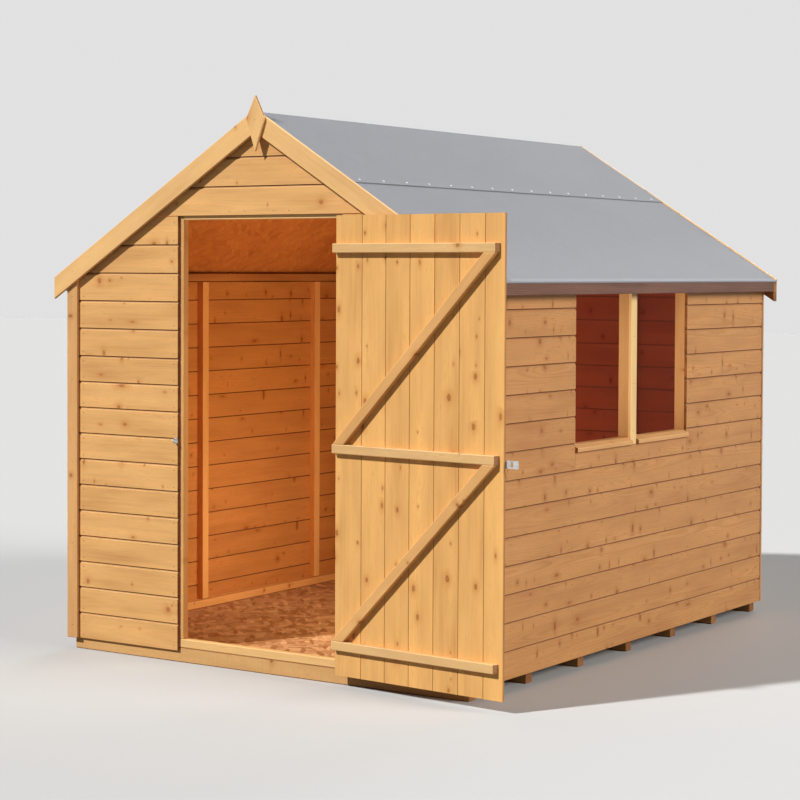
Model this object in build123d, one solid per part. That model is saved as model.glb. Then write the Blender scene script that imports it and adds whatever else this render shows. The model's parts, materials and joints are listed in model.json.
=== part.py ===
from build123d import *
import math
import os

# Wooden garden shed with an apex roof and one ledged and braced door. Sizes are in millimetres.
# +X runs right along the front gable, +Y runs to the back, +Z is up.
# The origin is on the ground, under the middle bearer.

# Body of the shed, over the outside of the boards
shed_width = 1859
shed_depth = 2390
side_frame_top = 1468
roof_pitch = 32

# Floor: the first and last bearers are rim boards that the floor sheet lies between
bearer_count = 7
bearer_width = 44
bearer_height = 44
bearer_inset = 12
floor_sheet = 11

# Cladding boards, with a scooped cove at the top edge of each
board_thick = 12
board_cover = 100.2
gable_cover = 107
wide_boards_start = 11
cove_depth = 5
cove_height = 11
cutter_clear = 1

# Framing timber: the wide side shows from inside the shed
frame_width = 38
frame_depth = 28
stud_spacing = 400
rear_stud_spacing = 310

# Doorway, between the cut ends of the front boards
doorway_left = -382
doorway_right = 375
doorway_boards = 16
stop_showing = 19
head_stop = 14
threshold_height = 33

# Window opening group in the right wall
window_width = 443
window_centre = -19
mullion_width = 47
window_sill_top = 840
sill_height = 28
sill_nose = 16
sill_projection = 12
window_post_depth = 43
pane_thick = 2.5
pane_recess = 22
window_board_count = 7

# Roof
roof_sheet = 9
felt_thick = 2.5
felt_lip = 6
felt_cap_half = 495
gable_overhang = 12.5
rear_overhang = 19
eave_overhang = 45.5
eave_batten_thick = 18
eave_batten_height = 47
purlin_width = 30
purlin_ratio = 0.5
barge_width = 72
barge_thick = 12
barge_rise = 7.5
barge_end_reach = 11
rear_barge_width = 76
rear_barge_thick = 30
verge_showing = 10
corner_strip_width = 52
corner_strip_thick = 12

# Finial
finial_thick = 12
finial_half_width = 41
finial_above_ridge = 74
finial_height = 203
finial_shoulder_drop = 83
finial_round = 22
finial_shift = 9

# Door leaf
leaf_free_gap = 16
leaf_gap = 6
leaf_bottom = 43
leaf_head_gap = 5
leaf_stand_off = 5
leaf_first_board = 120
leaf_board_cover = 107
inner_groove = 1.5
ledge_height = 33
ledge_thick = 22
ledge_end_slant = 8
bottom_ledge_rise = 109
middle_ledge_rise = 808
top_ledge_drop = 116
ledge_free_inset = 16
brace_width = 36
brace_hinge_inset = 3
brace_free_inset = 23
door_open_angle = 175

# Hinges and hasp, in galvanised steel
hinge_face_offset = 10
knuckle_radius = 9
knuckle_height = 26
knuckle_gap = 0.5
pin_radius = 3
pin_clearance = 0.1
hinge_plate_thick = 2.5
hinge_plate_width = 34
strap_length = 300
strap_tip_height = 20
hasp_height = 27
hasp_thick = 3
hasp_on_leaf = 50
hasp_end_margin = 26
hasp_slot_width = 10
hasp_slot_height = 19
hasp_centre = 838
staple_wire = 2
staple_half_height = 5
staple_reach = 18
staple_setback = 9
staple_plate_thick = 1

# Worked out from the sizes above
half_width = shed_width / 2
half_depth = shed_depth / 2
inner_x = half_width - board_thick
inner_y = half_depth - board_thick
cladding_bottom = bearer_height
floor_top = bearer_height + floor_sheet
slope = math.tan(math.radians(roof_pitch))
plumb = 1 / math.cos(math.radians(roof_pitch))
ridge_under = side_frame_top + slope * inner_x
frame_inner_x = inner_x - frame_depth
frame_inner_y = inner_y - frame_depth
rail_top = floor_top + frame_width
top_rail_bottom = side_frame_top - frame_width
wide_boards_bottom = cladding_bottom + wide_boards_start * board_cover
doorway_top = wide_boards_bottom + (doorway_boards - wide_boards_start) * gable_cover
door_post_left = doorway_left + stop_showing
door_post_right = doorway_right
window_low = window_centre - mullion_width / 2 - window_width
window_high = window_centre + mullion_width / 2 + window_width
mullion_low = window_centre - mullion_width / 2
mullion_high = window_centre + mullion_width / 2
lower_boards_top = cladding_bottom + window_board_count * board_cover
sill_bottom = window_sill_top - sill_height
gable_end = half_depth + gable_overhang
sheet_back = half_depth + rear_overhang
rear_barge_face = sheet_back + rear_barge_thick
felt_back = rear_barge_face - verge_showing
eave_reach = half_width + eave_overhang
barge_reach = eave_reach + barge_end_reach
roof_edge = eave_reach - felt_thick
sheet_edge = roof_edge - eave_batten_thick
felt_top = roof_sheet + felt_thick
barge_top = felt_top + felt_thick + barge_rise
barge_face = gable_end + barge_thick
rear_barge_low = roof_sheet - rear_barge_width
leaf_top = doorway_top - leaf_head_gap
leaf_hinge_edge = doorway_right - leaf_gap
leaf_free_edge = doorway_left + leaf_free_gap
leaf_width = leaf_hinge_edge - leaf_free_edge
leaf_back = -inner_y - leaf_stand_off
leaf_front = leaf_back - board_thick
ledge_heights = (
    leaf_bottom + bottom_ledge_rise,
    leaf_bottom + middle_ledge_rise,
    leaf_top - top_ledge_drop,
)
hinge_x = doorway_right - leaf_gap / 2
hinge_y = leaf_front - hinge_face_offset
door_pose = Pos(hinge_x, hinge_y, 0) * Rot(0, 0, door_open_angle) * Pos(-hinge_x, -hinge_y, 0)


def block(x_low, x_high, y_low, y_high, z_low, z_high):
    """A square-cut piece between two corners."""
    size = Box(x_high - x_low, y_high - y_low, z_high - z_low)
    return Pos((x_low + x_high) / 2, (y_low + y_high) / 2, (z_low + z_high) / 2) * size


def cut_xz(points, y_low, y_high):
    """A flat piece with its outline seen from the front."""
    outline = Plane.XZ * make_face(Polyline(*points, close=True))
    return Pos(0, y_high, 0) * extrude(outline, amount=y_high - y_low)


def roof_z(x, offset):
    """Height of the plane parallel to the roof, offset square to it from the sheet's underside."""
    return ridge_under - slope * abs(x) + offset * plumb


def slope_strip(side, x_inner, x_outer, low, high, y_low, y_high):
    """A piece that follows one roof slope, with plumb ends."""
    points = [
        (side * x_inner, roof_z(x_inner, low)),
        (side * x_outer, roof_z(x_outer, low)),
        (side * x_outer, roof_z(x_outer, high)),
        (side * x_inner, roof_z(x_inner, high)),
    ]
    return cut_xz(points, y_low, y_high)


def upright(x_low, x_high, z_low, roof_offset, y_low, y_high):
    """A post in a gable frame, cut at its top to the roof slope."""
    points = [
        (x_low, z_low),
        (x_high, z_low),
        (x_high, roof_z(x_high, roof_offset)),
        (x_low, roof_z(x_low, roof_offset)),
    ]
    return cut_xz(points, y_low, y_high)


def joint_heights(gable):
    """Heights of the joints between boards, up to the ridge on a gable wall."""
    heights = [cladding_bottom + k * board_cover for k in range(1, wide_boards_start + 1)]
    step = gable_cover if gable else board_cover
    top = ridge_under if gable else side_frame_top
    while heights[-1] + step < top:
        heights.append(heights[-1] + step)
    return heights


def board_section(z_low, z_high, gable):
    """Cross-section of a wall of boards: X is out from its back, Y is up, with a cove at each joint."""
    section = Pos(board_thick / 2, (z_low + z_high) / 2) * Rectangle(board_thick, z_high - z_low)
    for z in joint_heights(gable):
        if z_low + cove_height < z <= z_high + cove_height / 2:
            section -= cove_face(z)
    return section


def cove_face(z):
    """The scoop along the top edge of a board whose neighbour above starts at height z."""
    middle = math.sqrt(0.5)
    deep = (board_thick - cove_depth, z)
    shallow = (board_thick, z - cove_height)
    half_way = (board_thick - cove_depth * middle, z - cove_height * middle)
    scoop = ThreePointArc(shallow, half_way, deep)
    outside = board_thick + cutter_clear
    edge = Polyline(deep, (outside, z), (outside, z - cove_height), shallow)
    return make_face([scoop, edge])


def gable_outline(y_low, y_high):
    """The whole end wall, from the bottom of the boards to the roof."""
    points = [
        (-half_width, cladding_bottom),
        (half_width, cladding_bottom),
        (half_width, roof_z(half_width, 0)),
        (0, roof_z(0, 0)),
        (-half_width, roof_z(half_width, 0)),
    ]
    return cut_xz(points, y_low, y_high)


def gable_boards(end, x_low, x_high, z_low, z_high):
    """Boards of an end wall: end is -1 at the front and 1 at the back."""
    facing = Plane(origin=(x_low, end * inner_y, 0), x_dir=(0, end, 0), z_dir=(end, 0, 0))
    boards = extrude(facing * board_section(z_low, z_high, True), amount=end * (x_high - x_low))
    low, high = sorted((end * inner_y, end * half_depth))
    return boards & gable_outline(low, high)


def side_boards(side, y_low, y_high, z_low, z_high):
    """Boards of a side wall: side is -1 at the left and 1 at the right."""
    facing = Plane(origin=(side * inner_x, y_low, 0), x_dir=(side, 0, 0), z_dir=(0, -side, 0))
    boards = extrude(facing * board_section(z_low, z_high, False), amount=-side * (y_high - y_low))
    shell = [
        (side * inner_x, z_low),
        (side * half_width, z_low),
        (side * half_width, min(z_high, roof_z(half_width, 0))),
        (side * inner_x, min(z_high, roof_z(inner_x, 0))),
    ]
    return boards & cut_xz(shell, y_low, y_high)


def make_floor():
    first = inner_y - bearer_width / 2
    spacing = 2 * first / (bearer_count - 1)
    half_length = inner_x - bearer_inset
    bearers = []
    for k in range(bearer_count):
        middle = -first + k * spacing
        low, high = middle - bearer_width / 2, middle + bearer_width / 2
        is_rim = k in (0, bearer_count - 1)
        top = floor_top if is_rim else bearer_height
        bearers.append(block(-half_length, half_length, low, high, 0, top))
    deck_end = inner_y - bearer_width
    deck = block(-inner_x, inner_x, -deck_end, deck_end, bearer_height, floor_top)
    return {"floor_bearers": bearers, "floor_deck": [deck]}


def make_cladding():
    ridge = ridge_under
    eave = side_frame_top
    return {
        "front_wall_left": [gable_boards(-1, -half_width, doorway_left, cladding_bottom, doorway_top)],
        "front_wall_right": [gable_boards(-1, doorway_right, half_width, cladding_bottom, doorway_top)],
        "front_gable": [gable_boards(-1, -half_width, half_width, doorway_top, ridge)],
        "rear_wall": [gable_boards(1, -half_width, half_width, cladding_bottom, ridge)],
        "left_wall": [side_boards(-1, -inner_y, inner_y, cladding_bottom, eave)],
        "right_wall_lower": [side_boards(1, -inner_y, inner_y, cladding_bottom, lower_boards_top)],
        "right_wall_front": [side_boards(1, -inner_y, window_low, lower_boards_top, eave)],
        "right_wall_rear": [side_boards(1, window_high, inner_y, lower_boards_top, eave)],
    }


def make_window():
    apron = block(inner_x, half_width, window_low, window_high, lower_boards_top, sill_bottom)
    strip_outline = [
        (inner_x, sill_bottom),
        (half_width, sill_bottom),
        (half_width, roof_z(half_width, 0)),
        (inner_x, roof_z(inner_x, 0)),
    ]
    strip = cut_xz(strip_outline, mullion_low, mullion_high)
    sills = []
    panes = []
    pane_face = half_width - pane_recess
    for low, high in ((window_low, mullion_low), (mullion_high, window_high)):
        sills.append(window_sill(low, high))
        panes.append(block(pane_face - pane_thick, pane_face, low, high, window_sill_top, top_rail_bottom))
    return {
        "window_apron_board": [apron],
        "window_mullion_strip": [strip],
        "window_sills": sills,
        "window_panes": panes,
    }


def window_sill(y_low, y_high):
    """A sill whose top falls outwards to its nose, so that rain runs off."""
    reach = half_width + sill_projection
    outline = [
        (inner_x, sill_bottom),
        (reach, sill_bottom),
        (reach, sill_bottom + sill_nose),
        (inner_x, window_sill_top),
    ]
    return cut_xz(outline, y_low, y_high)


def make_front_frame():
    low, high = -inner_y, -frame_inner_y
    under_rafter = -frame_width
    threshold_top = floor_top + threshold_height
    bottom = block(-inner_x, inner_x, low, high, floor_top, threshold_top)
    head_bottom = doorway_top - head_stop
    head = block(door_post_left, door_post_right, low, high, head_bottom, head_bottom + frame_width)
    head &= upright(door_post_left, door_post_right, head_bottom, under_rafter, low, high)
    places = [
        (-inner_x, -inner_x + frame_width),
        (door_post_left - frame_width, door_post_left),
        (door_post_right, door_post_right + frame_width),
        (inner_x - frame_width, inner_x),
    ]
    studs = [upright(x_low, x_high, threshold_top, under_rafter, low, high) for x_low, x_high in places]
    return {
        "front_rails": [bottom, head],
        "front_studs": studs,
        "front_rafter_left": [slope_strip(-1, 0, inner_x, under_rafter, 0, low, high)],
        "front_rafter_right": [slope_strip(1, 0, inner_x, under_rafter, 0, low, high)],
    }


def make_rear_frame():
    low, high = frame_inner_y, inner_y
    under_rafter = -frame_width
    half_stud = frame_width / 2
    places = [
        (-inner_x, -inner_x + frame_width),
        (-rear_stud_spacing - half_stud, -rear_stud_spacing + half_stud),
        (rear_stud_spacing - half_stud, rear_stud_spacing + half_stud),
        (inner_x - frame_width, inner_x),
    ]
    studs = [upright(x_low, x_high, rail_top, under_rafter, low, high) for x_low, x_high in places]
    return {
        "rear_bottom_rail": [block(-inner_x, inner_x, low, high, floor_top, rail_top)],
        "rear_studs": studs,
        "rear_rafter_left": [slope_strip(-1, 0, inner_x, under_rafter, 0, low, high)],
        "rear_rafter_right": [slope_strip(1, 0, inner_x, under_rafter, 0, low, high)],
    }


def side_rails(side):
    """The bottom and top rails of one side frame."""
    low, high = sorted((side * frame_inner_x, side * inner_x))
    reach = frame_inner_y
    bottom = block(low, high, -reach, reach, floor_top, rail_top)
    top = block(low, high, -reach, reach, top_rail_bottom, side_frame_top)
    return [bottom, top]


def make_left_frame():
    half_stud = frame_width / 2
    end = frame_inner_y - half_stud
    studs = []
    for middle in (-end, -stud_spacing, stud_spacing, end):
        low, high = middle - half_stud, middle + half_stud
        studs.append(block(-inner_x, -frame_inner_x, low, high, rail_top, top_rail_bottom))
    return {"left_wall_rails": side_rails(-1), "left_wall_studs": studs}


def make_right_frame():
    reach = frame_inner_y
    post_back = inner_x - window_post_depth
    studs = [
        block(frame_inner_x, inner_x, -reach, -reach + frame_width, rail_top, top_rail_bottom),
        block(frame_inner_x, inner_x, reach - frame_width, reach, rail_top, top_rail_bottom),
        block(post_back, inner_x, window_low - frame_width, window_low, rail_top, top_rail_bottom),
        block(post_back, inner_x, window_high, window_high + frame_width, rail_top, top_rail_bottom),
    ]
    rail_low = window_sill_top - frame_width
    sill_rail = block(post_back, inner_x, window_low, window_high, rail_low, window_sill_top)
    mullion = block(post_back, inner_x, mullion_low, mullion_high, window_sill_top, top_rail_bottom)
    return {
        "right_wall_rails": side_rails(1) + [sill_rail],
        "right_wall_studs": studs,
        "window_mullion_post": [mullion],
    }


def make_roof():
    sheets = {}
    felts = []
    battens = []
    purlins = []
    for side, name in ((-1, "left"), (1, "right")):
        sheet = slope_strip(side, 0, sheet_edge, 0, roof_sheet, -gable_end, sheet_back)
        sheets["roof_sheet_" + name] = [sheet]
        felts.append(felt_slope(side))
        battens.append(eave_batten(side))
        middle = purlin_ratio * inner_x
        low, high = middle - purlin_width / 2, middle + purlin_width / 2
        purlins.append(slope_strip(side, low, high, -frame_width, 0, -frame_inner_y, frame_inner_y))
    cap_points = [
        (-felt_cap_half / plumb, roof_z(felt_cap_half / plumb, felt_top)),
        (0, roof_z(0, felt_top)),
        (felt_cap_half / plumb, roof_z(felt_cap_half / plumb, felt_top)),
        (felt_cap_half / plumb, roof_z(felt_cap_half / plumb, felt_top + felt_thick)),
        (0, roof_z(0, felt_top + felt_thick)),
        (-felt_cap_half / plumb, roof_z(felt_cap_half / plumb, felt_top + felt_thick)),
    ]
    cap = cut_xz(cap_points, -gable_end, felt_back)
    return sheets | {
        "roof_felt_slopes": felts,
        "roof_felt_cap": [cap],
        "eave_battens": battens,
        "roof_purlins": purlins,
    }


def felt_slope(side):
    """Felt on one slope, with a short lip over the eave batten. It stops just short of the ridge."""
    clear = felt_thick / 2
    lip_bottom = roof_z(eave_reach, felt_top) - felt_lip
    points = [
        (side * clear, roof_z(clear, roof_sheet)),
        (side * roof_edge, roof_z(roof_edge, roof_sheet)),
        (side * roof_edge, lip_bottom),
        (side * eave_reach, lip_bottom),
        (side * eave_reach, roof_z(eave_reach, felt_top)),
        (side * clear, roof_z(clear, felt_top)),
    ]
    return cut_xz(points, -gable_end, felt_back)


def eave_batten(side):
    """The batten that closes the low edge of one roof sheet, its top cut to the slope."""
    top = roof_z(roof_edge, roof_sheet)
    points = [
        (side * sheet_edge, top - eave_batten_height),
        (side * roof_edge, top - eave_batten_height),
        (side * roof_edge, top),
        (side * sheet_edge, roof_z(sheet_edge, roof_sheet)),
    ]
    return cut_xz(points, -gable_end, sheet_back)


def make_trim():
    """Barge boards stand proud of the felt at the front and lie under it at the back."""
    barges = {}
    low = barge_top - barge_width
    for side, name in ((-1, "left"), (1, "right")):
        front = slope_strip(side, 0, barge_reach, low, barge_top, -barge_face, -gable_end)
        rear = slope_strip(side, 0, roof_edge, rear_barge_low, roof_sheet, sheet_back, rear_barge_face)
        barges["barge_front_" + name] = [front]
        barges["barge_rear_" + name] = [rear]
    strips = []
    for end in (-1, 1):
        y_low, y_high = sorted((end * half_depth, end * (half_depth + corner_strip_thick)))
        for side in (-1, 1):
            x_low, x_high = sorted((side * half_width, side * (half_width - corner_strip_width)))
            strips.append(upright(x_low, x_high, cladding_bottom, 0, y_low, y_high))
    return barges | {"corner_strips": strips, "finial": [make_finial()]}


def make_finial():
    """A kite with round shoulders, in front of the barge boards at the ridge."""
    top = ridge_under + finial_above_ridge
    shoulder = top - finial_shoulder_drop
    kite = Polyline(
        (0, top),
        (finial_half_width, shoulder),
        (0, top - finial_height),
        (-finial_half_width, shoulder),
        close=True,
    )
    face = make_face(kite)
    face = fillet(face.vertices().sort_by(Axis.X)[0], finial_round)
    face = fillet(face.vertices().sort_by(Axis.X)[-1], finial_round)
    return Pos(finial_shift, -barge_face, 0) * extrude(Plane.XZ * face, amount=finial_thick)


def leaf_boards():
    """The upright boards of the leaf, with a cove at each outer joint and a fine groove inside."""
    middle_y = (leaf_front + leaf_back) / 2
    section = Pos((leaf_hinge_edge + leaf_free_edge) / 2, middle_y) * Rectangle(leaf_width, board_thick)
    joint = leaf_hinge_edge - leaf_first_board
    half_way = math.sqrt(0.5)
    while joint > leaf_free_edge + cove_height:
        shallow = (joint - cove_height, leaf_front)
        deep = (joint, leaf_front + cove_depth)
        middle = (joint - cove_height * half_way, leaf_front + cove_depth * half_way)
        scoop = ThreePointArc(shallow, middle, deep)
        outside = leaf_front - cutter_clear
        edge = Polyline(deep, (joint, outside), (joint - cove_height, outside), shallow)
        section -= make_face([scoop, edge])
        section -= Pos(joint, leaf_back) * Rectangle(inner_groove, 2 * inner_groove)
        joint -= leaf_board_cover
    return Pos(0, 0, leaf_bottom) * extrude(section, amount=leaf_top - leaf_bottom)


def leaf_ledges():
    """Flat rails across the inside of the leaf, their free ends cut at a slant."""
    free_end = leaf_free_edge + ledge_free_inset
    seen_from_above = [
        (free_end, leaf_back),
        (leaf_hinge_edge, leaf_back),
        (leaf_hinge_edge, leaf_back + ledge_thick),
        (free_end + ledge_end_slant, leaf_back + ledge_thick),
    ]
    outline = make_face(Polyline(*seen_from_above, close=True))
    ledge = extrude(outline, amount=ledge_height)
    return [Pos(0, 0, middle - ledge_height / 2) * ledge for middle in ledge_heights]


def leaf_braces():
    """Each brace rises from the hinge side of one ledge to the free side of the next."""
    braces = []
    foot_x = leaf_hinge_edge - brace_hinge_inset
    head_x = leaf_free_edge + brace_free_inset
    for lower, upper in zip(ledge_heights, ledge_heights[1:]):
        foot_z = lower + ledge_height / 2
        head_z = upper - ledge_height / 2
        rise = head_z - foot_z
        cut = brace_width
        for _ in range(6):
            run = foot_x - head_x - cut
            cut = brace_width * math.hypot(run, rise) / rise
        points = [(foot_x, foot_z), (foot_x - cut, foot_z), (head_x, head_z), (head_x + cut, head_z)]
        braces.append(cut_xz(points, leaf_back, leaf_back + ledge_thick))
    return braces


def hinge_strap(middle):
    """The leaf's half of a tee hinge: a tapered strap and the middle knuckle, bored for the pin."""
    half_knuckle = knuckle_height / 2
    half_tip = strap_tip_height / 2
    end_x = hinge_x - strap_length
    points = [
        (hinge_x, middle - half_knuckle),
        (hinge_x, middle + half_knuckle),
        (end_x, middle + half_tip),
        (end_x, middle - half_tip),
    ]
    strap = cut_xz(points, leaf_front - hinge_plate_thick, leaf_front)
    knuckle = Pos(hinge_x, hinge_y, middle) * Cylinder(knuckle_radius, knuckle_height)
    bore = Pos(hinge_x, hinge_y, middle) * Cylinder(pin_radius + pin_clearance, knuckle_height)
    return strap + knuckle - bore


def hinge_plate(middle):
    """The wall's half of a tee hinge: an upright plate, the outer knuckles and the pin."""
    outer = knuckle_height / 2 + knuckle_gap + knuckle_height
    plate_low = doorway_right + leaf_gap / 2
    face = -half_depth - hinge_plate_thick
    plate_high = plate_low + hinge_plate_width
    plate = block(plate_low, plate_high, face, -half_depth, middle - outer, middle + outer)
    pin = Pos(hinge_x, hinge_y, middle) * Cylinder(pin_radius, 2 * outer)
    half = plate + pin
    for side in (-1, 1):
        centre = middle + side * (outer - knuckle_height / 2)
        half += Pos(hinge_x, hinge_y, centre) * Cylinder(knuckle_radius, knuckle_height)
        low, high = centre - knuckle_height / 2, centre + knuckle_height / 2
        neck_points = [
            (hinge_x, hinge_y + knuckle_radius - hinge_plate_thick),
            (hinge_x, hinge_y + knuckle_radius),
            (plate_low, -half_depth),
            (plate_low + hinge_plate_thick, face),
        ]
        neck = make_face(Polyline(*neck_points, close=True))
        half += Pos(0, 0, low) * extrude(neck, amount=high - low)
    return half


def hasp_strap():
    """The slotted plate on the leaf's outer face that reaches past its free edge."""
    low, high = hasp_centre - hasp_height / 2, hasp_centre + hasp_height / 2
    face = leaf_front - hasp_thick
    middle = doorway_left - staple_setback
    end = middle - hasp_end_margin
    plate = block(end, leaf_free_edge + hasp_on_leaf, face, leaf_front, low, high)
    half_slot = hasp_slot_width / 2
    slot_low = hasp_centre - hasp_slot_height / 2
    slot_high = hasp_centre + hasp_slot_height / 2
    return plate - block(middle - half_slot, middle + half_slot, face, leaf_front, slot_low, slot_high)


def hasp_staple():
    """The wire loop on its small plate that the hasp closes over."""
    middle = doorway_left - staple_setback
    half_plate = staple_setback
    reach = hasp_slot_height / 2
    face = -half_depth - staple_plate_thick
    base = block(
        middle - half_plate, middle + half_plate,
        face, -half_depth,
        hasp_centre - reach, hasp_centre + reach,
    )
    bend = -half_depth - staple_reach + staple_half_height
    path = Polyline((-half_depth, -staple_half_height), (bend, -staple_half_height))
    path += ThreePointArc(
        (bend, -staple_half_height),
        (bend - staple_half_height, 0),
        (bend, staple_half_height),
    )
    path += Line((bend, staple_half_height), (-half_depth, staple_half_height))
    side_view = Plane(origin=(middle, 0, hasp_centre), x_dir=(0, 1, 0), z_dir=(1, 0, 0))
    wire = side_view * path
    start = Plane(origin=(middle, -half_depth, hasp_centre - staple_half_height), z_dir=(0, -1, 0))
    return base + sweep(start * Circle(staple_wire), path=wire)


def make_door():
    """The leaf is laid out closed and then turned to where it stands open."""
    closed = {
        "door_boards": [leaf_boards()],
        "door_ledges": leaf_ledges(),
        "door_braces": leaf_braces(),
        "hinge_straps": [hinge_strap(middle) for middle in ledge_heights],
        "hasp_strap": [hasp_strap()],
    }
    return {name: [door_pose * piece for piece in pieces] for name, pieces in closed.items()}


def make_ironwork():
    return {
        "hinge_plates": [hinge_plate(middle) for middle in ledge_heights],
        "hasp_staple": [hasp_staple()],
    }


def main():
    nodes = {}
    nodes |= make_floor()
    nodes |= make_cladding()
    nodes |= make_window()
    nodes |= make_front_frame()
    nodes |= make_rear_frame()
    nodes |= make_left_frame()
    nodes |= make_right_frame()
    nodes |= make_roof()
    nodes |= make_trim()
    nodes |= make_ironwork()
    nodes |= make_door()
    os.makedirs("parts", exist_ok=True)
    for name, pieces in nodes.items():
        piece = pieces[0] if len(pieces) == 1 else Compound(children=pieces)
        piece.label = name
        export_step(piece, "parts/" + name + ".step")
    print("Doorway top %.1f, ridge %.1f, nodes %d" % (doorway_top, ridge_under, len(nodes)))


main()
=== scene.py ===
import json
import math
import random

import bmesh
import bpy
from mathutils import Matrix, Vector


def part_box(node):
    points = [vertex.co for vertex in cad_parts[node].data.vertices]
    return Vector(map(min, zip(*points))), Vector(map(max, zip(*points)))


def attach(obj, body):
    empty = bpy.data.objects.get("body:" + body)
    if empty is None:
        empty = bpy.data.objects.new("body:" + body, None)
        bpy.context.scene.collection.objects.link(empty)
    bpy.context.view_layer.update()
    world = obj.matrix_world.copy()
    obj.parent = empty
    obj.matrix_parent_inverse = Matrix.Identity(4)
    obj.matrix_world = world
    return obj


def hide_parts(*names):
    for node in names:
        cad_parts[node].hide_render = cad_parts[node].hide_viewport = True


# Wooden garden shed: board-by-board walls and door, dressed timber, felt and ironwork.
# Lengths are in metres, angles in degrees.

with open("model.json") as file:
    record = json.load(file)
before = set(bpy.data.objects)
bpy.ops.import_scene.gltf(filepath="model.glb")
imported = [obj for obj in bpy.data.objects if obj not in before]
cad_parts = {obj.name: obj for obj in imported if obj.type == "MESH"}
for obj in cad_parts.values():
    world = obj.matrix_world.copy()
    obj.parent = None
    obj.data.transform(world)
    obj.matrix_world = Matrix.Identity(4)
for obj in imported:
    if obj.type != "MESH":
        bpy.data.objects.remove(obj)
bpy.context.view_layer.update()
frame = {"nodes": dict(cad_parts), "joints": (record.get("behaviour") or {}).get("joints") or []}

# Camera, solved from the straight edges in the photograph, which is 800 x 800 pixels
picture_pixels = 800
focal_pixels = 2084.4
horizon_shift_pixels = -63
camera_place = (4.6529, -7.2448, 1.4824)
camera_yaw = 33.678
camera_pitch = 1.828
camera_roll = 0.255

# Wall boards
board_thick = 0.012
board_cover = 0.1002
gable_cover = 0.107
equal_boards = 11
cove_depth = 0.004
cove_height = 0.008
cove_steps = 5
joint_gap = 0.0018
lap_gap = 0.0004
edge_round = 0.0012
# Painted highlight on the eased edges that face up or sideways
edge_wear = 0.16
# Painted shade on the eased edges that face down
under_edge_shade = -0.45
# Darker ends: end grain, and partly painted shade on ends that face away from the light
end_shade = -0.50
leaf_edge_shade = -0.40
tongue_height = 0.007
tongue_thick = 0.0062
shoulder_gap = 0.0005
inner_round = 0.0006
inner_line = 0.0016
inner_fade = 0.0036
tongue_line = 0.0010
tongue_fade = 0.0030
apron_gap = 0.0008
touch = 0.001
same_level = 1e-5
upper_level = 1.2

# Door boards
leaf_groove = 0.0016
leaf_groove_depth = 0.0018
leaf_groove_stain = 0.5
leaf_groove_slant = 0.0001
leaf_tongue_face = 0.0070
leaf_rebate_face = 0.0075
leaf_lap = 0.004
leaf_first_board = 0.120
leaf_board_cover = 0.107

# Small ironmongery
nail_radius = 0.0019
nail_height = 0.0005
nail_in = 0.018
nail_shares = (0.16, 0.80)
nail_from_end = 0.075
gable_stud = 0.31
side_stud = 0.4
narrow_gable = 0.05
head_nails = (-0.137, -0.067, 0.067, 0.137)
head_nail_up = 0.016
finial_nail_up = 0.012
mullion_nails = (0.08, 0.36, 0.64, 0.90)
strip_nail_first = 0.05
strip_nail_step = 0.32
leaf_nail_first = 0.06
leaf_nail_side = 0.03
leaf_nail_drop = 0.005
strap_screws = (0.10, 0.34, 0.60, 0.86)
plate_screws = (-0.031, -0.0105, 0.0105, 0.031)
plate_screw_in = 0.012
hasp_screws = (0.012, 0.036)
stud_middle = 0.019
strip_middle = 0.026
clout_radius = 0.0046
clout_height = 0.0011
clout_spacing = 0.155
clout_above_seam = 0.02
screw_radius = 0.0042
screw_height = 0.0012
sheet_metal = 0.0025
head_sides = 8
head_sunk = 0.0003

# Laths on the rear verge
lath_rise = 0.0015
lath_arris = 0.0008
lath_back = 0.0005

# Studio
floor_half = 40.0
floor_drop = 0.0005
world_light = 0.09

# Colours in linear light: each wood's light grain and its dark grain. Some stand for painted light and
# shade, as marked.
front_colours = ((0.81, 0.47, 0.182), (0.65, 0.32, 0.105))
side_colours = ((0.69, 0.352, 0.136), (0.51, 0.234, 0.080))
door_colours = ((0.81, 0.465, 0.160), (0.64, 0.32, 0.098))
ledge_colours = ((0.76, 0.50, 0.230), (0.60, 0.335, 0.130))
brace_colours = ((0.80, 0.465, 0.180), (0.60, 0.30, 0.100))
trim_colours = ((0.87, 0.555, 0.240), (0.71, 0.395, 0.148))
corner_colours = ((0.72, 0.41, 0.170), (0.57, 0.28, 0.102))
pale_colours = ((1.0, 0.71, 0.345), (0.93, 0.60, 0.26))
sill_colours = ((0.84, 0.485, 0.205), (0.69, 0.355, 0.135))
frame_colours = ((0.78, 0.44, 0.18), (0.60, 0.29, 0.10))
# Painted shade: a darker, redder copy of the framing for the timbers inside the shed
indoor_shaded_colours = ((0.66, 0.25, 0.065), (0.46, 0.14, 0.035))
# Painted light: a lighter copy of the framing for the left wall's frame
lit_stud_colours = ((0.90, 0.46, 0.155), (0.68, 0.28, 0.080))
bearer_colours = ((0.74, 0.44, 0.18), (0.52, 0.26, 0.09))
eave_colours = ((0.215, 0.110, 0.078), (0.145, 0.067, 0.046))
floor_board_colours = ((0.72, 0.42, 0.205), (0.34, 0.135, 0.045))
roof_board_colours = ((0.74, 0.27, 0.065), (0.46, 0.13, 0.03))
# Painted shade: tints of the boards' faces that look into the shed
side_indoor_shade = (0.92, 0.70, 0.46)
end_indoor_shade = (0.58, 0.22, 0.17)
# Colour of the joints: real stain, and painted shade down in the coves and slits
joint_stain_shade_brown = (0.13, 0.038, 0.011)
knot_halo = (0.90, 0.75, 0.60)
knot_middle = (0.66, 0.44, 0.30)
knot_edge = (0.38, 0.21, 0.14)
felt_grey = (0.238, 0.254, 0.296)
floor_seen = (0.600, 0.624, 0.652)
floor_bounced = (0.20, 0.19, 0.17)
backdrop_grey = (0.755, 0.755, 0.755)


# Node trees

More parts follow.
